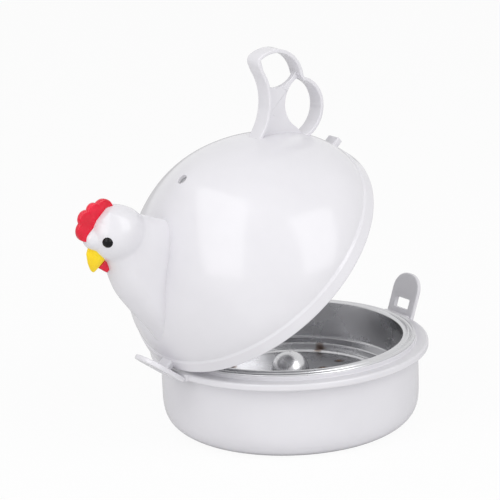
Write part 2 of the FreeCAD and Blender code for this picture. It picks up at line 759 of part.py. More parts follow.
# ---- head and neck: level sections, round in front and drawn out behind, under a ball
head = new_body("HeadForm")
sections = []
for name in ("foot", "low", "mid", "high", "chin", "top"):
    flat = {"chin": "neck_flat_chin", "top": "neck_flat_top"}.get(name, "neck_flat")
    front = "neck_half - neck_front_" + name
    back = front + " + " + flat
    reach = -value("neck_back_" + name) - value(back)
    tail = [(value("neck_half") * cos(i * pi / 8), value(back) + reach * sin(i * pi / 8))
            for i in range(1, 8)]
    sections.append(draw(head, "Neck_" + name, "XY_Plane", [
        ("0 - neck_half", front),
        ("neck_half", front),
        ("neck_half", back),
        ("0 - neck_half", back),
    ], {0: ("half", front, -1), 2: ("through", tail)}, "neck_%s_height" % name))
neck = head.newObject("PartDesign::AdditiveLoft", "Neck")
neck.Profile = sections[0]
neck.Sections = sections[1:]
ball(head, "Ball", "ball_radius", ("0", "ball_y", "ball_z"))
ball(head, "Brow", "brow_radius", ("0", "brow_y", "brow_z"))

# ---- comb: a flat plate of four lobes, let on to the crown of the head
comb = new_body("CombForm")
sketch = draw(comb, "CombOutline", "YZ_Plane", [
    ("comb_rear_y", "comb_rear_z"),
    ("comb_notch_one_y", "comb_notch_one_z"),
    ("comb_notch_two_y", "comb_notch_two_z"),
    ("comb_notch_three_y", "comb_notch_three_z"),
    ("comb_front_y", "comb_front_z"),
], {
    0: ("rise", "comb_lobe_one", -1),
    1: ("rise", "comb_lobe_two", -1),
    2: ("rise", "comb_lobe_three", -1),
    3: ("rise", "comb_lobe_four", -1),
})
pad(comb, "Comb", sketch, "comb_thick")

# ---- beak: triangular sections that close towards the tip
beak = new_body("BeakForm")
sections = []
for name in ("root", "middle", "tip"):
    sections.append(draw(beak, "Beak_" + name, "XZ_Plane", [
        ("0 - beak_%s_half" % name, "beak_under"),
        ("beak_%s_half" % name, "beak_under"),
        ("beak_ridge", "beak_%s_top" % name),
        ("0 - beak_ridge", "beak_%s_top" % name),
    ], {1: ("rise", "beak_cheek", -1), 3: ("rise", "beak_cheek", -1)}, "0 - beak_%s_y" % name))
loft = beak.newObject("PartDesign::AdditiveLoft", "Beak")
loft.Profile = sections[0]
loft.Sections = sections[1:]

# ---- wattle: a small plate under the beak
wattle = new_body("WattleForm")
sketch = draw(wattle, "WattleOutline", "YZ_Plane", [
    ("wattle_front_y", "wattle_top"),
    ("wattle_low_y", "wattle_low_z"),
    ("beak_root_y", "wattle_heel_z"),
    ("beak_root_y", "wattle_top"),
])
pad(wattle, "Wattle", sketch, "wattle_thick")


def eye_form(label, side):
    sphere = doc.addObject("Part::Sphere", label)
    sphere.Label = label
    sphere.setExpression("Radius", "Sizes.eye_radius")
    sphere.setExpression("Placement.Base.x", side + "Sizes.eye_x")
    sphere.setExpression("Placement.Base.y", "Sizes.eye_y")
    sphere.setExpression("Placement.Base.z", "Sizes.eye_z")
    return sphere


def seated(label, form, carrier):
    """A form less what it sits on, swung open with the lid."""
    piece = doc.addObject("Part::Cut", label)
    piece.Label = label
    piece.Base = form
    piece.Tool = carrier
    open_with_lid(piece)
    return piece


NODES = [cup, pan, doc.getObject("rear_clip"), doc.getObject("front_clip"), lid, liner]
NODES.append(seated("tail_handle", handle, dome))
NODES.append(seated("head", head, dome))
NODES.append(seated("comb", comb, head))
NODES.append(seated("beak", beak, head))
NODES.append(seated("wattle", wattle, head))
NODES.append(seated("eye_left", eye_form("LeftEyeForm", ""), head))
NODES.append(seated("eye_right", eye_form("RightEyeForm", "-"), head))
doc.recompute()

for item in doc.Objects:
    if "Invalid" in item.State or "Error" in item.State:
        raise RuntimeError("%s failed: %s" % (item.Label, item.getStatusString()))
for node in NODES:
    if node.Shape.isNull() or not node.Shape.isValid() or len(node.Shape.Solids) != 1:
        raise RuntimeError("%s is not one sound solid" % node.Label)

os.makedirs("parts", exist_ok=True)
for node in NODES:
    node.Shape.exportStep("parts/%s.step" % node.Label)
    box = node.Shape.BoundBox
    print("%-12s %9.1f mm3  x %.1f..%.1f  y %.1f..%.1f  z %.1f..%.1f" % (
        node.Label, node.Shape.Volume, box.XMin, box.XMax, box.YMin, box.YMax, box.ZMin, box.ZMax))
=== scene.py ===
import json

import bpy
import numpy as np
from mathutils import Matrix, Vector


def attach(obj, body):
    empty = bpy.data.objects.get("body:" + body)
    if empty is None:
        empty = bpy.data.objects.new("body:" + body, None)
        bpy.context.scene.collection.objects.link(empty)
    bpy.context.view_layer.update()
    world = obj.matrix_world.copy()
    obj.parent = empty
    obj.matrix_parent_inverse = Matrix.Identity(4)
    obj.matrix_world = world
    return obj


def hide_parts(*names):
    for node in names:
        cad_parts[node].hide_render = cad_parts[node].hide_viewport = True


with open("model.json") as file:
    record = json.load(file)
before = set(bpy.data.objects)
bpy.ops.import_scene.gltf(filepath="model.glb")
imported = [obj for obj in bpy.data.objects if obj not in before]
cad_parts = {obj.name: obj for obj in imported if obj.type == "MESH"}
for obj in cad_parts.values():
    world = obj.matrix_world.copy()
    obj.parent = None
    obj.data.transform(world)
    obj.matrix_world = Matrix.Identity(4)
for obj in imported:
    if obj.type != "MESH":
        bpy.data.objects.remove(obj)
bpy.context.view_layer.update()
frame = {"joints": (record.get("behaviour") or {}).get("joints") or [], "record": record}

# Camera
# The photograph is taken from the hen's front left and a little from above, with a long lens.
# Sizes are in millimetres unless a name says otherwise; the picture is square.
AROUND, ABOVE, LEAN = np.radians(54.09), np.radians(15.87), np.radians(-2.13)
CAMERA_AWAY, AIM_SIDE, AIM_HEIGHT = 1399.76, -17.44, 86.99
SENSOR, LENS = 36.0, 208.04

MM = 0.001
towards = np.array([np.sin(AROUND) * np.cos(ABOVE), -np.cos(AROUND) * np.cos(ABOVE), np.sin(ABOVE)])
level = np.array([np.cos(AROUND), np.sin(AROUND), 0.0])
upright = np.cross(towards, level)
aim = level * AIM_SIDE + np.array([0.0, 0.0, AIM_HEIGHT])
camera_data = bpy.data.cameras.new("camera")
camera_data.sensor_width = SENSOR
camera_data.lens = LENS
camera_data.clip_start, camera_data.clip_end = 0.05, 50.0
camera = bpy.data.objects.new("camera", camera_data)
bpy.context.scene.collection.objects.link(camera)
camera.matrix_world = Matrix.Translation(Vector((aim + towards * CAMERA_AWAY) * MM)) @ Matrix((
    Vector(level * np.cos(LEAN) + upright * np.sin(LEAN)),
    Vector(upright * np.cos(LEAN) - level * np.sin(LEAN)),
    Vector(towards))).transposed().to_4x4()
bpy.context.scene.camera = camera

# Base cup
# One injection moulding in white polypropylene: a bowl with a flat foot and a rounded bend, a
# flange with two hinge lugs, and a low collar that the pan's rim rests on.
CUP_RADIUS, CUP_FOOT, CUP_BEND = 62.9, 53.4, 28.8
CUP_BEND_RISE, CUP_BEND_RUN = 6.16, 1.11
CUP_WALL, CUP_FLOOR = 2.3, 2.5
FLANGE_RADIUS, FLANGE_TOP, FLANGE_DEPTH, FLANGE_EDGE = 68.0, 40.3, 3.5, 1.0
COLLAR_RADIUS, COLLAR_TOP = 62.0, 42.3
LUG_ROOT, LUG_REACH, LUG_HALF, LUG_CORNER, LUG_EDGE = 58.0, 68.9, 9.5, 1.5, 0.7
SMOOTH_ROUND = 360


def rounded(corners, radii, closed=False, steps=7):
    """Straight lines from corner to corner, each corner turned on an arc of its own radius r that
    begins r tan(turn / 2) before it. A short lead beside each arc keeps the straight parts flat."""
    corners = np.asarray(corners, float)
    count = len(corners)
    parts = []
    for i, (here, r) in enumerate(zip(corners, radii)):
        if r <= 0 or (not closed and i in (0, count - 1)):
            parts.append(here[None])
            continue
        coming = here - corners[i - 1]
        going = corners[(i + 1) % count] - here
        room = min(np.linalg.norm(coming), np.linalg.norm(going))
        coming, going = coming / np.linalg.norm(coming), going / np.linalg.norm(going)
        turn = np.arccos(np.clip(coming @ going, -1, 1))
        side = np.sign(coming[0] * going[1] - coming[1] * going[0])
        inward = side * np.array([-coming[1], coming[0]])
        cut = r * np.tan(turn / 2)
        a = np.linspace(0, turn, steps)[:, None]
        arc = here - coming * cut + inward * r + r * (coming * np.sin(a) - inward * np.cos(a))
        lead = min(0.25 * r, 0.2 * max(room - cut, 0))
        parts += [(arc[0] - coming * lead)[None], arc, (arc[-1] + going * lead)[None]]
    return np.concatenate(parts)


def power_curve(radius, start, rise, power_up, power_out, u):
    """radius at share u of the rise: start + (radius - start)(1 - u^power_up)^(1/power_out)."""
    return start + (radius - start) * np.clip(1 - u ** power_up, 0, 1) ** (1 / power_out)


def revolve(profile, count=SMOOTH_ROUND):
    """Turns (radius, height) points round +Z: x = r cos a, y = r sin a."""
    a = np.linspace(0, 2 * np.pi, count, endpoint=False)
    r, z = profile[:, :1], profile[:, 1:]
    return np.stack([r * np.cos(a), r * np.sin(a), z + 0 * a], -1)


def slab(outline, low, high, edge, middle, steps=6):
    """A plate between two heights over an outline that its middle sees all of: each row is the
    outline moved in along its normal by edge (1 - sin t) while it climbs edge (1 - cos t), and both
    faces are drawn to the middle."""
    after, before = np.roll(outline, -1, 0), np.roll(outline, 1, 0)
    run = after - before
    normal = np.stack([-run[:, 1], run[:, 0]], -1) / np.linalg.norm(run, axis=1)[:, None]
    normal *= np.sign(((middle - outline) * normal).sum(1).mean())
    t = np.linspace(0, np.pi / 2, steps)
    inset = np.concatenate([edge * (1 - np.sin(t)), edge * (1 - np.sin(t))[::-1]])
    height = np.concatenate([low + edge * (1 - np.cos(t)), high - edge * (1 - np.cos(t))[::-1]])
    rows = outline[None] + normal[None] * inset[:, None, None]
    share = np.array([0.02, 0.5, 0.95])[:, None, None]
    first = middle + (rows[0] - middle) * share
    last = middle + (rows[-1] - middle) * share[::-1]
    flat = np.concatenate([first, rows, last])
    height = np.concatenate([np.full(3, height[0]), height, np.full(3, height[-1])])
    return np.concatenate([flat, np.broadcast_to(height[:, None, None], flat.shape[:2] + (1,))], -1)


def skin(name, *grids, loop=False, fan=True, turned=False):
    """A mesh over grids of points in millimetres: point (i, j) joins to (i + 1, j) and (i, j + 1),
    and the last column to the first. loop joins the last row to the first, fan closes both end
    rows to their middles. A closed form's volume, the sum of a . (b x c) / 6, gives the way out."""
    points, faces, start = [], [], 0
    for grid in grids:
        m, n = grid.shape[:2]
        index = np.arange(m * n).reshape(m, n)
        here, there = (index, np.roll(index, -1, 0)) if loop else (index[:-1], index[1:])
        quads = np.stack([here, np.roll(here, -1, 1), np.roll(there, -1, 1), there], -1).reshape(-1, 4)
        flat = grid.reshape(-1, 3)
        fans = np.empty((0, 3), int)
        if fan and not loop:
            flat = np.concatenate([flat, grid[0].mean(0)[None], grid[-1].mean(0)[None]])
            bottom = np.stack([index[0], np.full(n, m * n), np.roll(index[0], -1)], -1)
            top = np.stack([np.roll(index[-1], -1), np.full(n, m * n + 1), index[-1]], -1)
            fans = np.concatenate([bottom, top])
        thirds = np.concatenate([quads[:, [0, 1, 2]], quads[:, [0, 2, 3]], fans])
        a, b, c = (flat[thirds[:, k]] for k in range(3))
        volume = (a * np.cross(b, c)).sum() / 6
        if (turned if (not loop and not fan) else volume < 0):
            quads, fans = quads[:, ::-1], fans[:, ::-1]
        faces += (quads + start).tolist() + (fans + start).tolist()
        points.append(flat)
        start += len(flat)
    mesh = bpy.data.meshes.new(name)
    mesh.from_pydata((np.concatenate(points) * MM).tolist(), [], faces)
    mesh.polygons.foreach_set("use_smooth", np.ones(len(mesh.polygons), bool))
    mesh.update()
    piece = bpy.data.objects.new(name, mesh)
    bpy.context.scene.collection.objects.link(piece)
    return piece


def nodes_of(name, slot):
    """A fresh material whose Principled shader takes its base colour from the record's slot."""
    made = bpy.data.materials.new(name)
    made.use_nodes = True
    tree = made.node_tree
    shader = tree.nodes["Principled BSDF"]
    entry = [m for m in frame["record"]["materials"] if m["slot"] == slot][0]
    shader.inputs["Base Color"].default_value = tuple(entry["base_color"]) + (1.0,)
    return made, tree, shader


def link(tree, kind, outputs=(), **sockets):
    """One node: sockets take numbers or another node's output; outputs name where it goes."""
    node = tree.nodes.new(kind)
    for key, worth in sockets.items():
        socket = node.inputs[key.replace("_", " ")]
        if isinstance(worth, bpy.types.NodeSocket):
            tree.links.new(worth, socket)
        else:
            socket.default_value = worth
    for out, target in outputs:
        tree.links.new(node.outputs[out], target)
    return node


def moulded(name, slot, light, deep, smooth, rough, patch=28.0, grain=520.0, depth=0.00003):
    """Injection-moulded plastic: faint flow marks between two near colours, a roughness that wanders
    between two values, and the fine orange peel of a polished mould as bump."""
    made, tree, shader = nodes_of(name, slot)
    place = link(tree, "ShaderNodeTexCoord").outputs["Object"]
    flow = link(tree, "ShaderNodeTexNoise", Vector=place, Scale=patch, Detail=3.0, Roughness=0.55)
    tone = tree.nodes.new("ShaderNodeValToRGB")
    tone.color_ramp.elements[0].position, tone.color_ramp.elements[1].position = 0.32, 0.68
    tone.color_ramp.elements[0].color = deep + (1.0,)
    tone.color_ramp.elements[1].color = light + (1.0,)
    tree.links.new(flow.outputs["Fac"], tone.inputs["Fac"])
    tree.links.new(tone.outputs["Color"], shader.inputs["Base Color"])
    wear = link(tree, "ShaderNodeTexNoise", Vector=place, Scale=patch * 3.1, Detail=4.0)
    link(tree, "ShaderNodeMapRange", [("Result", shader.inputs["Roughness"])],
         Value=wear.outputs["Fac"], From_Min=0.3, From_Max=0.7, To_Min=smooth, To_Max=rough)
    peel = link(tree, "ShaderNodeTexNoise", Vector=place, Scale=grain, Detail=2.0)
    link(tree, "ShaderNodeBump", [("Normal", shader.inputs["Normal"])],
         Height=peel.outputs["Fac"], Strength=0.25, Distance=depth)
    shader.inputs["IOR"].default_value = 1.49
    return made


def settle(piece, body, slot, material, *nodes):
    """Gives a finished piece its material, the body it rides on and the solids it stands for."""
    piece.data.materials.append(material)
    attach(piece, body)
    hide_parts(*nodes)


white = moulded("white_polypropylene", "white_plastic", (0.80, 0.79, 0.825), (0.765, 0.755, 0.79),
                0.13, 0.2)

bend = np.sin(np.linspace(np.pi / 2, 0, 34)) ** 0.5
outer = np.stack([power_curve(CUP_RADIUS, CUP_FOOT, CUP_BEND, CUP_BEND_RISE, CUP_BEND_RUN, bend),
                  CUP_BEND * (1 - bend)], -1)
inner = outer[::-1] + [-CUP_WALL, CUP_FLOOR]
flange = rounded([
    (CUP_RADIUS, CUP_BEND + 0.5),
    (CUP_RADIUS, FLANGE_TOP - FLANGE_DEPTH),
    (FLANGE_RADIUS, FLANGE_TOP - FLANGE_DEPTH),
    (FLANGE_RADIUS, FLANGE_TOP),
    (COLLAR_RADIUS, FLANGE_TOP),
    (COLLAR_RADIUS, COLLAR_TOP),
    (CUP_RADIUS - CUP_WALL, COLLAR_TOP),
    (CUP_RADIUS - CUP_WALL, CUP_BEND + CUP_FLOOR + 0.5),
], [0, 0.5, FLANGE_EDGE, FLANGE_EDGE, 0.4, 0.4, 0.4, 0])
foot = np.array([(8.0, 0.0), (CUP_FOOT - 6, 0.0), (CUP_FOOT - 0.6, 0.0)])
floor_inside = np.array([(CUP_FOOT - CUP_WALL - 0.8, CUP_FLOOR), (20.0, CUP_FLOOR), (5.0, CUP_FLOOR)])
cup_grid = revolve(np.concatenate([foot, outer, flange, inner, floor_inside]))
lug_outline = rounded([(-LUG_HALF, LUG_ROOT), (LUG_HALF, LUG_ROOT), (LUG_HALF, LUG_REACH),
                       (-LUG_HALF, LUG_REACH)], [LUG_CORNER] * 4, closed=True)
lug_grid = slab(lug_outline, FLANGE_TOP - FLANGE_DEPTH, FLANGE_TOP - 0.02, LUG_EDGE, lug_outline.mean(0))
cup = skin("cup_moulding", cup_grid, lug_grid, lug_grid * [1, -1, 1])
settle(cup, "base", "white_plastic", white, "base_cup")

# Egg pan
# Pressed from one sheet of bright aluminium: a broad rolled rim, a straight wall, a ledge, a well
# with a raised ring, a steam dome at the centre and three rings of punched steam holes.
SHEET = 0.8
PAN_WALL, PAN_LIP, PAN_RIM = 55.6, 59.0, 61.8
LIP_TOP, GROOVE, ROLL_TOP = 43.6, 42.75, 43.25
LEDGE_OUT, LEDGE_IN, WELL = 24.4, 23.0, 50.0
PAN_FLOOR, STEAM_DOME, DOME_MIDDLE, FLARE, FLARE_SAG = 19.6, 9.5, 25.2, 15.0, 1.6
RING_MIDDLE, RING_HALF, RING_RISE = 47.4, 1.3, 1.0
HOLE_RADIUS, HOLES_ROUND, HOLE_RIM_REACH = 1.0, 4, 2.6
HOLE_RIM_BROWN = (0.16, 0.085, 0.045, 1.0)
PAN_ROUND = 320
HOLE_RINGS = ((24.7, 101.7), (37.8, 102.8), (48.3, 125.4))


def pierce(piece, centres, radius):
    """Opens round holes in a fine sheet: faces whose middle lies within 0.8 radius of a centre go,
    and what points they leave on the edge are drawn on to the circle. Returns every point's
    distance from the nearest centre."""
    mesh = piece.data
    spots = np.empty(len(mesh.vertices) * 3)
    mesh.vertices.foreach_get("co", spots)
    spots = spots.reshape(-1, 3) / MM
    corners = np.empty(len(mesh.loops), int)
    mesh.loops.foreach_get("vertex_index", corners)
    corners = corners.reshape(-1, 4)
    away = spots[:, None, :2] - centres[None]
    gap = np.linalg.norm(away, axis=2)
    nearest = gap.argmin(1)
    least = gap.min(1)
    middles = spots[corners].mean(1)[:, :2]
    gone = (np.linalg.norm(middles[:, None] - centres[None], axis=2).min(1) < 0.8 * radius)
    edge = np.intersect1d(corners[gone].ravel(), corners[~gone].ravel())
    pull = radius / least[edge]
    spots[edge, :2] = centres[nearest[edge]] + away[edge, nearest[edge]] * pull[:, None]
    kept, renamed = np.unique(corners[~gone], return_inverse=True)
    mesh.clear_geometry()
    mesh.from_pydata((spots[kept] * MM).tolist(), [], renamed.reshape(-1, 4).tolist())
    mesh.polygons.foreach_set("use_smooth", np.ones(len(mesh.polygons), bool))
    mesh.update()
    return least[kept]


def spun(name, slot, colour, smooth, rough, rings, depth):
    """Bright pressed aluminium: fine turning rings, as noise over the distance from the axis, faint
    blotches in the roughness, and a brown tint towards each hole's edge where the mesh carries one."""
    made, tree, shader = nodes_of(name, slot)
    shader.inputs["Metallic"].default_value = 1.0
    place = link(tree, "ShaderNodeTexCoord").outputs["Object"]
    apart = link(tree, "ShaderNodeSeparateXYZ", Vector=place)
    flat = link(tree, "ShaderNodeCombineXYZ", X=apart.outputs["X"], Y=apart.outputs["Y"])
    reach = tree.nodes.new("ShaderNodeVectorMath")
    reach.operation = "LENGTH"
    tree.links.new(flat.outputs["Vector"], reach.inputs[0])
    along = link(tree, "ShaderNodeCombineXYZ", X=reach.outputs["Value"], Y=apart.outputs["Z"])
    marks = link(tree, "ShaderNodeTexNoise", Vector=along.outputs["Vector"], Scale=rings, Detail=3.0)
    blotch = link(tree, "ShaderNodeTexNoise", Vector=place, Scale=60.0, Detail=3.0)
    link(tree, "ShaderNodeMapRange", [("Result", shader.inputs["Roughness"])],
         Value=blotch.outputs["Fac"], From_Min=0.3, From_Max=0.7, To_Min=smooth, To_Max=rough)
    link(tree, "ShaderNodeBump", [("Normal", shader.inputs["Normal"])],
         Height=marks.outputs["Fac"], Strength=0.3, Distance=depth)
    # A per-point weight on the mesh mixes the base colour towards brown near each hole's edge.
    hole_rim_tint = tree.nodes.new("ShaderNodeAttribute")
    hole_rim_tint.attribute_name = "hole_rim_tint"
    tone = tree.nodes.new("ShaderNodeMix")
    tone.data_type = "RGBA"
    tree.links.new(hole_rim_tint.outputs["Fac"], tone.inputs["Factor"])
    tone.inputs["A"].default_value = colour + (1.0,)
    tone.inputs["B"].default_value = HOLE_RIM_BROWN
    tree.links.new(tone.outputs["Result"], shader.inputs["Base Color"])
    return made


a = np.linspace(np.arcsin(0.5 / STEAM_DOME), np.pi / 2, 16)[:, None]
dome_part = np.hstack([STEAM_DOME * np.sin(a), DOME_MIDDLE + STEAM_DOME * np.cos(a)])
t = np.linspace(0, 1, 12)[1:-1, None]
start, end = np.array([STEAM_DOME, DOME_MIDDLE]), np.array([FLARE, PAN_FLOOR])
sink = np.array([PAN_FLOOR - DOME_MIDDLE, STEAM_DOME - FLARE])
flare_part = start + (end - start) * t + sink / np.linalg.norm(sink) * 4 * FLARE_SAG * t * (1 - t)
floor_r = np.linspace(FLARE, WELL - 0.9, 62)
floor_part = np.stack([floor_r, PAN_FLOOR + RING_RISE * np.clip(
    1 - ((floor_r - RING_MIDDLE) / RING_HALF) ** 2, 0, 1) ** 0.8], -1)
wall_part = rounded([(WELL - 0.85, PAN_FLOOR), (WELL, PAN_FLOOR), (WELL, LEDGE_IN),
                     (PAN_WALL, LEDGE_OUT), (PAN_WALL, GROOVE)], [0, 0.7, 0.9, 1.2, 0])
b = np.linspace(np.pi, 0, 13)[:, None]
lip_half, roll_middle = (PAN_LIP - PAN_WALL) / 2, PAN_RIM - 1.2
lip_part = np.hstack([PAN_WALL + lip_half * (1 + np.cos(b)), GROOVE + (LIP_TOP - GROOVE) * np.sin(b)])
c = np.linspace(np.pi, -0.35 * np.pi, 15)[:, None]
roll_part = np.hstack([roll_middle + 1.1 * np.cos(c), GROOVE - 0.35 + (ROLL_TOP - GROOVE + 0.35)
                       * np.sin(c)])
pan = skin("pan_pressing", revolve(np.concatenate([
    dome_part, flare_part, floor_part, wall_part[1:-1], lip_part, roll_part]), PAN_ROUND),
    fan=False, turned=True)
spokes = np.arange(HOLES_ROUND) * 360.0 / HOLES_ROUND
centres = np.concatenate([np.stack([r * np.cos(np.radians(turn + spokes)),
                                    r * np.sin(np.radians(turn + spokes))], -1)
                          for r, turn in HOLE_RINGS])
near = pierce(pan, centres, HOLE_RADIUS)
# Points within a short reach of a hole get a weight that turns the sheet brown towards the hole's edge.
pan.data.attributes.new("hole_rim_tint", "FLOAT", "POINT").data.foreach_set(
    "value", np.clip(1.35 - 0.35 * near / HOLE_RADIUS, 0, 1) * (near < HOLE_RIM_REACH) * 0.9)
wall = pan.modifiers.new("sheet", "SOLIDIFY")
wall.thickness, wall.offset = SHEET * MM, -1.0
# The pan's base colour is set darker than the liner's aluminium: painted shade for the dim light inside the
# pan under the lid.
aluminium = spun("pan_aluminium_darkened_for_shade", "pan_metal", (0.60, 0.60, 0.615), 0.2, 0.34, 900.0, 0.00004)
settle(pan, "base", "pan_metal", aluminium, "egg_pan")

# Lid shell
# The hen's body: one white moulding with a band round its mouth, a flattened dome with a steam
# vent at its crown and two keepers on the band. It is drawn shut and swung open on its hinge.
LID_FOOT, BAND_TOP, BAND_RADIUS, DOME_BASE = 40.6, 46.3, 66.7, 47.8
DOME_RADIUS, DOME_RISE, DOME_UP, DOME_OUT = 65.8, 54.7, 1.61, 1.46
LID_WALL, VENT = 2.0, 2.5
KEEPER_ROOT, KEEPER_REACH, KEEPER_HALF, KEEPER_FOOT, KEEPER_TOP = 65.0, 71.6, 4.0, 43.0, 46.5
KEEPER_CORNER, KEEPER_EDGE, KEEPER_MIDDLE = 0.8, 0.9, np.array([0.0, 68.0])
hinge = [j for j in frame["joints"] if j["name"] == "lid_hinge"][0]
OPEN = -np.radians(hinge["range_deg"][0])
HINGE = np.array(hinge["pos_m"]) / MM


def opened(grid):
    """Turns points about the hinge line, along +X, by the lid's opening."""
    y, z = grid[..., 1] - HINGE[1], grid[..., 2] - HINGE[2]
    return np.stack([grid[..., 0], HINGE[1] + y * np.cos(OPEN) - z * np.sin(OPEN),
                     HINGE[2] + y * np.sin(OPEN) + z * np.cos(OPEN)], -1)


def dome_profile(radius, rise, vent, rows=90):
    """r = radius (1 - u^1.61)^(1/1.46) at height base + rise u, from the foot to the vent."""
    last = (1 - (vent / radius) ** DOME_OUT) ** (1 / DOME_UP)
    u = last * np.sin(np.linspace(0, np.pi / 2, rows)) ** 1.1
    return np.stack([power_curve(radius, 0, rise, DOME_UP, DOME_OUT, u), DOME_BASE + rise * u], -1)


dome_outside = dome_profile(DOME_RADIUS, DOME_RISE, VENT + 0.5)
dome_inside = dome_profile(DOME_RADIUS - LID_WALL, DOME_RISE - LID_WALL, VENT + 0.3)[::-1]
mouth = rounded([
    (DOME_RADIUS - LID_WALL, DOME_BASE - 1.5),
    (DOME_RADIUS - LID_WALL, LID_FOOT),
    (FLANGE_RADIUS, LID_FOOT),
    (BAND_RADIUS, BAND_TOP),
    (DOME_RADIUS, DOME_BASE - 0.5),
    (DOME_RADIUS - 0.15, DOME_BASE + 0.9),
], [0, 0.5, 1.0, 0.7, 0.5, 0])
vent_edge = rounded([
    tuple(dome_outside[-1]), (VENT, dome_outside[-1, 1] + 0.05),
    (VENT, dome_inside[0, 1] - 0.05), tuple(dome_inside[0])], [0, 0.3, 0.3, 0])
lid_profile = np.concatenate([mouth[:-1], dome_outside[dome_outside[:, 1] > DOME_BASE + 0.9],
                              vent_edge[1:-1], dome_inside[dome_inside[:, 1] > DOME_BASE + 0.1]])
keeper = slab(rounded([(-KEEPER_HALF, KEEPER_ROOT), (KEEPER_HALF, KEEPER_ROOT), (KEEPER_HALF, KEEPER_REACH),
                       (-KEEPER_HALF, KEEPER_REACH)], [KEEPER_CORNER] * 4, closed=True),
              KEEPER_FOOT, KEEPER_TOP, KEEPER_EDGE, KEEPER_MIDDLE)
lid = skin("hen_body", opened(revolve(lid_profile)), loop=True)
keepers = skin("lid_keepers", opened(keeper), opened(keeper * [1, -1, 1]))
settle(lid, "lid", "white_plastic", white, "lid_shell")
settle(keepers, "lid", "white_plastic", white, "lid_shell")

# Lid liner
# A thin spun aluminium reflector that follows the dome just inside it, with a wide vent.
LINER_GAP, LINER_VENT = 0.3, 4.0
liner_out = dome_profile(DOME_RADIUS - LID_WALL - LINER_GAP, DOME_RISE - LID_WALL - LINER_GAP, LINER_VENT)
liner_in = dome_profile(DOME_RADIUS - LID_WALL - LINER_GAP - SHEET, DOME_RISE - LID_WALL - LINER_GAP - SHEET,
                        LINER_VENT)[::-1]
liner = skin("spun_reflector", opened(revolve(np.concatenate([liner_out, liner_in]), 240)), loop=True)
reflector_metal = spun("satin_aluminium", "pan_metal", (0.74, 0.74, 0.76), 0.26, 0.38, 700.0, 0.00005)
settle(liner, "lid", "pan_metal", reflector_metal, "lid_liner")

# Clips
# Two alike moulded plates, round at the top, each with a window that snaps over a keeper. Their
# lower edges are rolled into the barrels that they swing on.
CLIP_HALF, CLIP_LENGTH, CLIP_THICK, CLIP_ROUND = 9.5, 21.5, 2.4, 8.5
WINDOW_HALF, WINDOW_FOOT, WINDOW_TOP = 5.25, 3.7, 8.7
REAR_LEAN, FRONT_LEAN = np.radians(20.0), np.radians(13.0)


def by_angle(path, middle, angles):
    """How far rays from the middle at these angles run to a star-shaped closed path, whose straight
    parts are first cut fine."""
    share = np.arange(0, 1, 0.05)[:, None, None]
    path = (path * (1 - share) + np.roll(path, -1, 0) * share).transpose(1, 0, 2).reshape(-1, 2)
    away = path - middle
    turn = np.arctan2(away[:, 1], away[:, 0])
    order = np.argsort(turn)
    return np.interp(angles, turn[order], np.linalg.norm(away, axis=1)[order], period=2 * np.pi)


def ring_plate(outline, window, thick, edges_out, edge_in, rays=240, steps=6):
    """A plate with a window as a closed tube of sections: round the plate by angle, and round each
    section by a rectangle whose four corners are arcs. Gives (across, up, through) points."""
    middle = window.mean(0)
    angles = np.linspace(-np.pi, np.pi, rays, endpoint=False)
    far, close = by_angle(outline, middle, angles), by_angle(window, middle, angles)
    t = np.linspace(0, np.pi / 2, steps)
    quarter = np.stack([np.cos(t), np.sin(t)])
    e = edges_out(angles)[:, None]
    half = thick / 2
    reach = np.concatenate([far[:, None] - e + e * quarter[0], close[:, None] + edge_in * (1 - quarter[1]),
                            close[:, None] + edge_in * (1 - quarter[0]),
                            far[:, None] - e + e * quarter[1]], 1)
    through = np.concatenate([half - e + e * quarter[1], half - edge_in + edge_in * quarter[0] + 0 * e,
                              -half + edge_in - edge_in * quarter[1] + 0 * e,
                              -half + e - e * quarter[0]], 1)
    return np.stack([middle[0] + reach * np.cos(angles)[:, None],
                     middle[1] + reach * np.sin(angles)[:, None], through], -1)


def leaning(grid, lean, side):
    """Stands the plate up, leans it out and moves it to the hinge line on one side of the cup."""
    across, up, through = grid[..., 0], grid[..., 1], grid[..., 2]
    y = up * np.sin(lean) + through * np.cos(lean)
    z = up * np.cos(lean) - through * np.sin(lean)
    return np.stack([across, side * (y - HINGE[1]), HINGE[2] + z], -1)


def rim_edge(turn):
    """The edge's radius on the clip's outside by turn: larger on the barrel, at the foot."""
    return 0.8 + 0.35 * np.clip(-1 - 2.2 * np.sin(turn), 0, 1)


clip_outline = rounded([(-CLIP_HALF, -CLIP_THICK / 2), (CLIP_HALF, -CLIP_THICK / 2), (CLIP_HALF, CLIP_LENGTH),
                        (-CLIP_HALF, CLIP_LENGTH)], [0.5, 0.5, CLIP_ROUND, CLIP_ROUND], closed=True, steps=40)
window_outline = rounded([(-WINDOW_HALF, WINDOW_FOOT), (WINDOW_HALF, WINDOW_FOOT), (WINDOW_HALF, WINDOW_TOP),
                          (-WINDOW_HALF, WINDOW_TOP)], [0.8] * 4, closed=True, steps=12)
clip_grid = ring_plate(clip_outline, window_outline, CLIP_THICK, rim_edge, 0.4)
rear_clip = skin("rear_latch", leaning(clip_grid, REAR_LEAN, 1), loop=True)
front_clip = skin("front_latch", opened(leaning(clip_grid, FRONT_LEAN, -1)), loop=True)
settle(rear_clip, "latch", "white_plastic", white, "rear_clip")
settle(front_clip, "lid", "white_plastic", white, "front_clip")

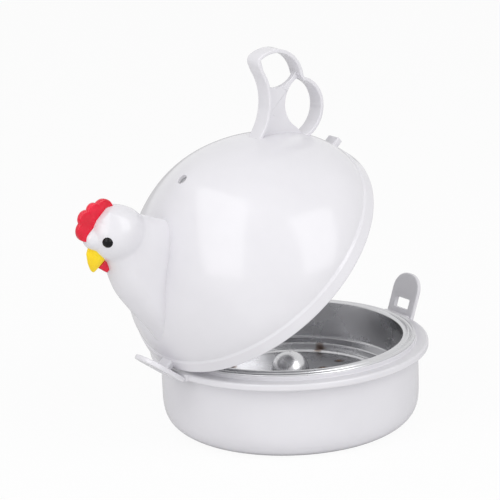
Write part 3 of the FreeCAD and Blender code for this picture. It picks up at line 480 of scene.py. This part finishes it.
# Tail handle
# The tail feathers: one white moulding, a ribbon that rises as a post, turns over and comes down
# in two round lobes, with a thin web behind it and a short link between the two finger holes.
# Each (y, z) pair is a place on the shut hen's middle plane, and turns are in degrees.
RIBBON, RIBBON_HALF, RIBBON_EDGE, WEB_HALF, WEB_EDGE, LINK_EDGE = 1.8, 4.5, 0.5, 1.2, 0.15, 0.3
POST, POST_RADIUS = np.array([37.0, 109.7]), 26.1
LOBE_ONE, LOBE_ONE_RADIUS = np.array([64.6, 95.2]), 17.0
LOBE_TWO, LOBE_TWO_RADIUS = np.array([64.9, 76.4]), 15.8
TIP = np.array([64.2, 109.8])
UPPER_HOLE, UPPER_RADIUS = np.array([74.04, 101.3]), 13.2
LOWER_HOLE, LOWER_RADIUS = np.array([72.64, 72.33]), 13.5
WEB_TOE, WEB_HEEL, WEB_BACK = np.array([60.0, 62.4]), np.array([48.0, 68.0]), np.array([40.0, 80.0])
WEB_MIDDLE = np.array([54.0, 85.5])
RIBBON_TURNS, ONE_TURNS, TWO_TURNS = (-90, -9), (81, -32), (32, -118)
UPPER_TURNS, LOWER_TURNS, POST_TURNS = (-163.3, -114), (101, 195), (-82.4, -31)
LINK_UPPER_TURNS, LINK_LOWER_TURNS = (-122, -68.4), (110, 68)


def arc(middle, radius, start, stop, count):
    """Points on a circle from one turn in degrees to another."""
    turn = np.radians(np.linspace(start, stop, count))
    return middle + radius * np.stack([np.cos(turn), np.sin(turn)], -1)


def between(start, stop, count, bow=0.0):
    """Points from start to stop that stand out to the left by 4 bow t (1 - t)."""
    t = np.linspace(0, 1, count)[:, None]
    way = stop - start
    left = np.array([-way[1], way[0]]) / np.linalg.norm(way)
    return start + way * t + left * 4 * bow * t * (1 - t)


def band(outside, inside, half, edge, steps=5):
    """A strip of moulding between two lines in the YZ plane, half wide to each side of x = 0: the
    section runs round a rectangle from one line to the other, with arcs for its four corners."""
    t = np.linspace(0, np.pi / 2, steps)
    s, c = np.sin(t), np.cos(t)
    width = np.linalg.norm(inside - outside, axis=1)[:, None]
    soft = np.minimum(edge, width * 0.48) / np.maximum(width, 1e-6)
    share = np.concatenate([soft * (1 - c), 1 - soft * (1 - s), 1 - soft * (1 - c), soft * (1 - s)], 1)
    side = np.concatenate([half - edge + edge * s, half - edge + edge * c,
                           edge - half - edge * s, edge - half - edge * c])
    line = outside[:, None] + (inside - outside)[:, None] * share[..., None]
    return np.stack([np.broadcast_to(side, share.shape), line[..., 0], line[..., 1]], -1)


post_out, post_in = (arc(POST, r, *RIBBON_TURNS, 60) for r in (POST_RADIUS, POST_RADIUS + RIBBON))
one_out, one_in = (arc(LOBE_ONE, r, *ONE_TURNS, 90) for r in (LOBE_ONE_RADIUS, LOBE_ONE_RADIUS - RIBBON))
two_out, two_in = (arc(LOBE_TWO, r, *TWO_TURNS, 110) for r in (LOBE_TWO_RADIUS, LOBE_TWO_RADIUS - RIBBON))
tip_out = np.concatenate([between(post_out[-1], TIP, 8)[1:], between(TIP, one_out[0], 8, 0.5)[1:-1]])
tip_in = between(post_in[-1], one_in[0], len(tip_out) + 2)[1:-1]
ribbon = band(np.concatenate([post_out, tip_out, one_out, two_out]),
              np.concatenate([post_in, tip_in, one_in, two_in]), RIBBON_HALF, RIBBON_EDGE)
upper_edge = arc(UPPER_HOLE, UPPER_RADIUS, *UPPER_TURNS, 40)
lower_edge = arc(LOWER_HOLE, LOWER_RADIUS, *LOWER_TURNS, 60)
web_outline = np.concatenate([
    upper_edge,
    between(upper_edge[-1], lower_edge[0], 10)[1:-1],
    lower_edge,
    between(WEB_TOE, WEB_HEEL, 16),
    between(WEB_HEEL, WEB_BACK, 12)[1:],
    arc(POST, POST_RADIUS + 0.3, *POST_TURNS, 60)])
web = slab(web_outline, -WEB_HALF, WEB_HALF, WEB_EDGE, WEB_MIDDLE)[..., [2, 0, 1]]
link_bar = band(arc(UPPER_HOLE, UPPER_RADIUS, *LINK_UPPER_TURNS, 20),
                arc(LOWER_HOLE, LOWER_RADIUS, *LINK_LOWER_TURNS, 20), WEB_HALF + 0.03, LINK_EDGE)
handle = skin("tail_feathers", opened(ribbon), opened(web), opened(link_bar))
settle(handle, "lid", "white_plastic", white, "tail_handle")

# Head and neck
# A hollow white moulding pushed on to the dome. Level sections are round in front, straight at the
# sides and drawn out behind; they rise into a ball for the face, with a small brow under the comb.
NECK_HEIGHTS = np.array([50.0, 62.0, 80.0, 92.0, 103.3, 116.5, 128.0])
NECK_FRONTS = np.array([64.6, 62.5, 62.1, 60.9, 56.7, 50.5, 44.0])
NECK_BACKS = np.array([10.0, 10.0, 11.0, 17.2, 23.4, 30.8, 38.5])
NECK_FLATS = np.array([10.0, 10.0, 10.0, 10.0, 6.0, 1.0, 0.3])
NECK_HALVES = np.array([9.6, 9.6, 9.6, 9.6, 9.6, 9.6, 5.0])
BALL, BALL_RADIUS = np.array([0.0, -42.6, 114.3]), 12.8
BROW_Y, BROW_Z, BROW_RADIUS = -51.2, 121.5, 4.8
JAW_BLEND, NAPE_BLEND, BROW_BLEND = 1.4, 9.0, 2.6


def through(x, xs, ys):
    """A smooth line through given values: on each stretch the cubic whose slopes at the ends are
    the local average slopes."""
    slopes = np.gradient(ys, xs)
    i = np.clip(np.searchsorted(xs, x) - 1, 0, len(xs) - 2)
    h = xs[i + 1] - xs[i]
    t = (x - xs[i]) / h
    return ((2 * t ** 3 - 3 * t ** 2 + 1) * ys[i] + (t ** 3 - 2 * t ** 2 + t) * h * slopes[i]
            + (3 * t ** 2 - 2 * t ** 3) * ys[i + 1] + (t ** 3 - t ** 2) * h * slopes[i + 1])


def soft_most(a, b, blend):
    """The larger of two reaches, eased over a band: a h + b (1 - h) + blend h (1 - h)."""
    h = np.clip(0.5 + 0.5 * (a - b) / blend, 0, 1)
    return b * (1 - h) + a * h + blend * h * (1 - h)


def neck_reach(z, turn):
    """How far a ray from the ball's axis runs inside the neck's level section at height z: to the
    straight side, or to the front half circle, or to the half ellipse behind."""
    half = through(z, NECK_HEIGHTS, NECK_HALVES)
    round_y = half - through(z, NECK_HEIGHTS, NECK_FRONTS)
    back_y = round_y + through(z, NECK_HEIGHTS, NECK_FLATS)
    reach_back = -through(z, NECK_HEIGHTS, NECK_BACKS) - back_y
    s, c = np.sin(turn), np.cos(turn)
    side = half / np.maximum(np.abs(s), 1e-6)
    side_y = BALL[1] - side * c
    d = BALL[1] - round_y
    front = d * c + np.sqrt(np.maximum(half ** 2 - (d * s) ** 2, 0))
    e = BALL[1] - back_y
    qa = (s / half) ** 2 + (c / reach_back) ** 2
    qb, qc = -2 * c * e / reach_back ** 2, (e / reach_back) ** 2 - 1
    behind = (-qb + np.sqrt(np.maximum(qb ** 2 - 4 * qa * qc, 0))) / (2 * qa)
    return np.where(side_y < round_y, front, np.where(side_y > back_y, behind, side))


ball_foot = BALL[2] - BALL_RADIUS
up = np.concatenate([np.linspace(NECK_HEIGHTS[0], ball_foot, 70)[:-1],
                     BALL[2] + BALL_RADIUS * np.sin(np.linspace(-np.pi / 2, 0.485 * np.pi, 90))])[:, None]
around = np.linspace(0, 2 * np.pi, 200, endpoint=False)[None]
ball_reach = np.sqrt(np.maximum(BALL_RADIUS ** 2 - (up - BALL[2]) ** 2, 0)) + 0 * around
brow_level = np.sqrt(np.maximum(BROW_RADIUS ** 2 - (up - BROW_Z) ** 2, 0))
brow_away = BALL[1] - BROW_Y
inside = brow_level ** 2 - (brow_away * np.sin(around)) ** 2
brow_reach = np.where((inside > 0) & (np.cos(around) > 0),
                      brow_away * np.cos(around) + np.sqrt(np.maximum(inside, 0)), 0)
nape = np.clip((up - BALL[2]) / BALL_RADIUS + 0.9, 0, 1) * np.clip(0.45 - np.cos(around), 0, 1)
reach = soft_most(neck_reach(up, around), ball_reach, JAW_BLEND + (NAPE_BLEND - JAW_BLEND) * nape)
reach = soft_most(reach, brow_reach, BROW_BLEND)
head_grid = np.stack([reach * np.sin(around), BALL[1] - reach * np.cos(around), up + 0 * around], -1)
head = skin("hen_head", opened(head_grid))
settle(head, "lid", "white_plastic", white, "head")

# Comb
# A red moulded plate of four lobes with rounded edges. Its lower edge is a shallow arc that is
# let into the crown of the head.
COMB_HALF, COMB_EDGE, COMB_SUNK, COMB_TURNS = 1.5, 0.8, 1.3, (48.7, 141.3)
COMB_POINTS = ((-34.6, 123.4), (-38.2, 132.2), (-43.6, 133.8), (-50.9, 132.6), (-54.6, 123.9))
COMB_LOBES = (3.3, 1.4, 2.2, 3.1)


def lobe(start, stop, rise, count=26):
    """An arc that stands out to the right of the way by rise, with its centre on the left:
    radius = chord^2 / 8 rise + rise / 2."""
    start, stop = np.array(start), np.array(stop)
    chord = stop - start
    length = np.linalg.norm(chord)
    radius = chord @ chord / 8 / rise + rise / 2
    across = np.array([-chord[1], chord[0]]) / length
    middle = start + chord / 2 + across * np.sqrt(radius ** 2 - length ** 2 / 4)
    first, last = start - middle, stop - middle
    opening, closing = np.arctan2(first[1], first[0]), np.arctan2(last[1], last[0])
    sweep = (closing - opening + np.pi) % (2 * np.pi) - np.pi
    turn = opening + sweep * np.linspace(0, 1, count)
    return middle + radius * np.stack([np.cos(turn), np.sin(turn)], -1)


comb_out = np.concatenate([lobe(p, q, rise)[1:] for p, q, rise in
                           zip(COMB_POINTS[:-1], COMB_POINTS[1:], COMB_LOBES)])
comb_in = arc(BALL[1:], BALL_RADIUS - COMB_SUNK, *COMB_TURNS, len(comb_out))
comb = skin("red_comb", opened(band(comb_out, comb_in, COMB_HALF, COMB_EDGE)))
red = moulded("red_plastic_moulding", "red_plastic", (0.86, 0.004, 0.040), (0.70, 0.003, 0.026),
              0.14, 0.22, patch=120.0, grain=1400.0, depth=0.00001)
settle(comb, "lid", "red_plastic", red, "comb")

# Beak
# A yellow moulding like a bent cone: broad at its root on the face, narrow at its ridge, and drawn
# down to a blunt tip.
BEAK_STATIONS = np.array([-62.4, -62.2, -61.0, -58.3, -50.0])
BEAK_HALVES = np.array([0.35, 1.1, 2.2, 3.6, 5.0])
BEAK_TOPS = np.array([111.9, 112.8, 115.6, 119.4, 123.5])
BEAK_UNDERS = np.array([110.6, 110.0, 109.9, 109.9, 109.9])
BEAK_ROOT = -46.0
y = np.concatenate([np.linspace(BEAK_STATIONS[0], BEAK_STATIONS[2], 12)[:-1],
                    np.linspace(BEAK_STATIONS[2], BEAK_ROOT, 30)])
half = np.interp(y, BEAK_STATIONS, BEAK_HALVES)[:, None]
top = np.interp(y, BEAK_STATIONS, BEAK_TOPS)[:, None]
under = np.interp(y, BEAK_STATIONS, BEAK_UNDERS)[:, None]
v = np.linspace(0, 2 * np.pi, 64, endpoint=False)[None]
climb = 0.5 * (1 + np.sin(v))
beak_grid = np.stack([half * np.cos(v) * (1.12 - 0.72 * climb ** 1.1), y[:, None] + 0 * v,
                      under + (top - under) * climb], -1)
beak = skin("yellow_beak", opened(beak_grid))
yellow = moulded("yellow_plastic_moulding", "yellow_plastic", (0.97, 0.72, 0.008), (0.94, 0.64, 0.008),
                 0.26, 0.36, patch=190.0, grain=1400.0)
settle(beak, "lid", "yellow_plastic", yellow, "beak")

# Wattle
# A small red moulded plate under the beak, drawn down towards the front. Its back edge is
# sunk into the face.
WATTLE_HALF, WATTLE_EDGE = 1.25, 0.6
wattle_top = between(np.array([-59.0, 109.6]), np.array([-50.0, 109.6]), 20)
wattle_low = between(np.array([-57.8, 104.3]), np.array([-50.0, 105.7]), 20, -0.4)
wattle = skin("red_wattle", opened(band(wattle_top, wattle_low, WATTLE_HALF, WATTLE_EDGE)))
settle(wattle, "lid", "red_plastic", red, "wattle")

# Eyes
# Two polished black buttons, moulded as domes and pressed into the face. Each looks outwards and
# a little up from the middle of the ball.
EYE_RADIUS, EYE_DEPTH, EYE_TURN, EYE_LIFT = 3.0, 10.9, np.radians(50.8), np.radians(25.5)
EYE_ROUND = 64
black = moulded("black_plastic_moulding", "black_plastic", (0.006, 0.006, 0.007), (0.003, 0.003, 0.004),
                0.16, 0.24, patch=300.0, grain=1600.0)
black.node_tree.nodes["Principled BSDF"].inputs["Specular IOR Level"].default_value = 0.2
a = np.linspace(0.04, 2.2, 26)[:, None]
button = revolve(np.hstack([EYE_RADIUS * np.sin(a), EYE_RADIUS * np.cos(a)]), EYE_ROUND)
for side, name in ((1, "left"), (-1, "right")):
    out = np.array([side * np.cos(EYE_LIFT) * np.sin(EYE_TURN), -np.cos(EYE_LIFT) * np.cos(EYE_TURN),
                    np.sin(EYE_LIFT)])
    across = np.cross(out, [0, 0, 1.0])
    across /= np.linalg.norm(across)
    axes = np.stack([across, np.cross(out, across), out])
    eye = skin("black_eye_" + name, opened(BALL + out * EYE_DEPTH + button @ axes))
    settle(eye, "lid", "black_plastic", black, "eye_" + name)

# Floor and light
# A plain white sweep, a large softbox on each side of the hen and an even white surround.
FLOOR_HALF_METRES, FLOOR_WHITE, FLOOR_GLOW = 3.0, 0.86, 0.93
LAMP_WATTS, SURROUND_ON_PART, SURROUND_SEEN = 4.4, 0.54, 1.0
LAMPS_FACE_METRES = np.array([0.0, -0.03, 0.1])
floor_mesh = bpy.data.meshes.new("floor")
floor_mesh.from_pydata([(x * FLOOR_HALF_METRES, y * FLOOR_HALF_METRES, 0)
                        for x, y in ((-1, -1), (1, -1), (1, 1), (-1, 1))], [], [(0, 1, 2, 3)])
floor = bpy.data.objects.new("floor", floor_mesh)
bpy.context.scene.collection.objects.link(floor)
paper = bpy.data.materials.new("white_paper")
paper.use_nodes = True
tree = paper.node_tree
tree.nodes.clear()
matt = link(tree, "ShaderNodeBsdfDiffuse", Color=(FLOOR_WHITE, FLOOR_WHITE, FLOOR_WHITE, 1.0))
glow = link(tree, "ShaderNodeEmission", Color=(1.0, 1.0, 1.0, 1.0), Strength=1.0)
rays = tree.nodes.new("ShaderNodeLightPath")
most = tree.nodes.new("ShaderNodeMath")
most.operation = "MAXIMUM"
tree.links.new(rays.outputs["Is Camera Ray"], most.inputs[0])
tree.links.new(rays.outputs["Is Transmission Ray"], most.inputs[1])
part = tree.nodes.new("ShaderNodeMath")
part.operation = "MULTIPLY"
tree.links.new(most.outputs["Value"], part.inputs[0])
part.inputs[1].default_value = FLOOR_GLOW
mixed = tree.nodes.new("ShaderNodeMixShader")
tree.links.new(part.outputs["Value"], mixed.inputs["Fac"])
tree.links.new(matt.outputs["BSDF"], mixed.inputs[1])
tree.links.new(glow.outputs["Emission"], mixed.inputs[2])
tree.links.new(mixed.outputs["Shader"], tree.nodes.new("ShaderNodeOutputMaterial").inputs["Surface"])
floor_mesh.materials.append(paper)


def softbox(name, corners, power):
    """An area light whose four corners lie near the given points, facing their common middle's
    way back to the hen."""
    corners = np.array(corners) * MM
    middle = corners.mean(0)
    wide = (corners[1] + corners[2] - corners[0] - corners[3]) / 2
    tall = (corners[0] + corners[1] - corners[2] - corners[3]) / 2
    out = middle - LAMPS_FACE_METRES
    out /= np.linalg.norm(out)
    wide -= out * (wide @ out)
    width = np.linalg.norm(wide)
    wide /= width
    rise = np.cross(out, wide)
    lamp = bpy.data.lights.new(name, "AREA")
    lamp.shape = "RECTANGLE"
    lamp.size, lamp.size_y = width, np.linalg.norm(tall)
    lamp.energy = power
    box = bpy.data.objects.new(name, lamp)
    bpy.context.scene.collection.objects.link(box)
    box.matrix_world = Matrix.Translation(Vector(middle)) @ Matrix((
        Vector(wide), Vector(rise), Vector(out))).transposed().to_4x4()


softbox("left_softbox", [(-98, -572, 1206), (336, -312, 1255), (556, -1105, 390), (-184, -1240, 277)],
        LAMP_WATTS)
softbox("right_softbox", [(694, -166, 1121), (570, 399, 1120), (1093, 596, 157), (1206, -204, 414)],
        LAMP_WATTS)

world = bpy.data.worlds.new("white_surround")
bpy.context.scene.world = world
world.use_nodes = True
tree = world.node_tree
tree.nodes.clear()
rays = tree.nodes.new("ShaderNodeLightPath")
seen = tree.nodes.new("ShaderNodeMath")
seen.operation = "MAXIMUM"
tree.links.new(rays.outputs["Is Camera Ray"], seen.inputs[0])
tree.links.new(rays.outputs["Is Glossy Ray"], seen.inputs[1])
bright = tree.nodes.new("ShaderNodeMapRange")
tree.links.new(seen.outputs["Value"], bright.inputs["Value"])
bright.inputs["To Min"].default_value = SURROUND_ON_PART
bright.inputs["To Max"].default_value = SURROUND_SEEN
sky = link(tree, "ShaderNodeBackground", Color=(1.0, 1.0, 1.0, 1.0), Strength=bright.outputs["Result"])
tree.links.new(sky.outputs["Background"], tree.nodes.new("ShaderNodeOutputWorld").inputs["Surface"])
bpy.context.scene.view_settings.view_transform = "Standard"
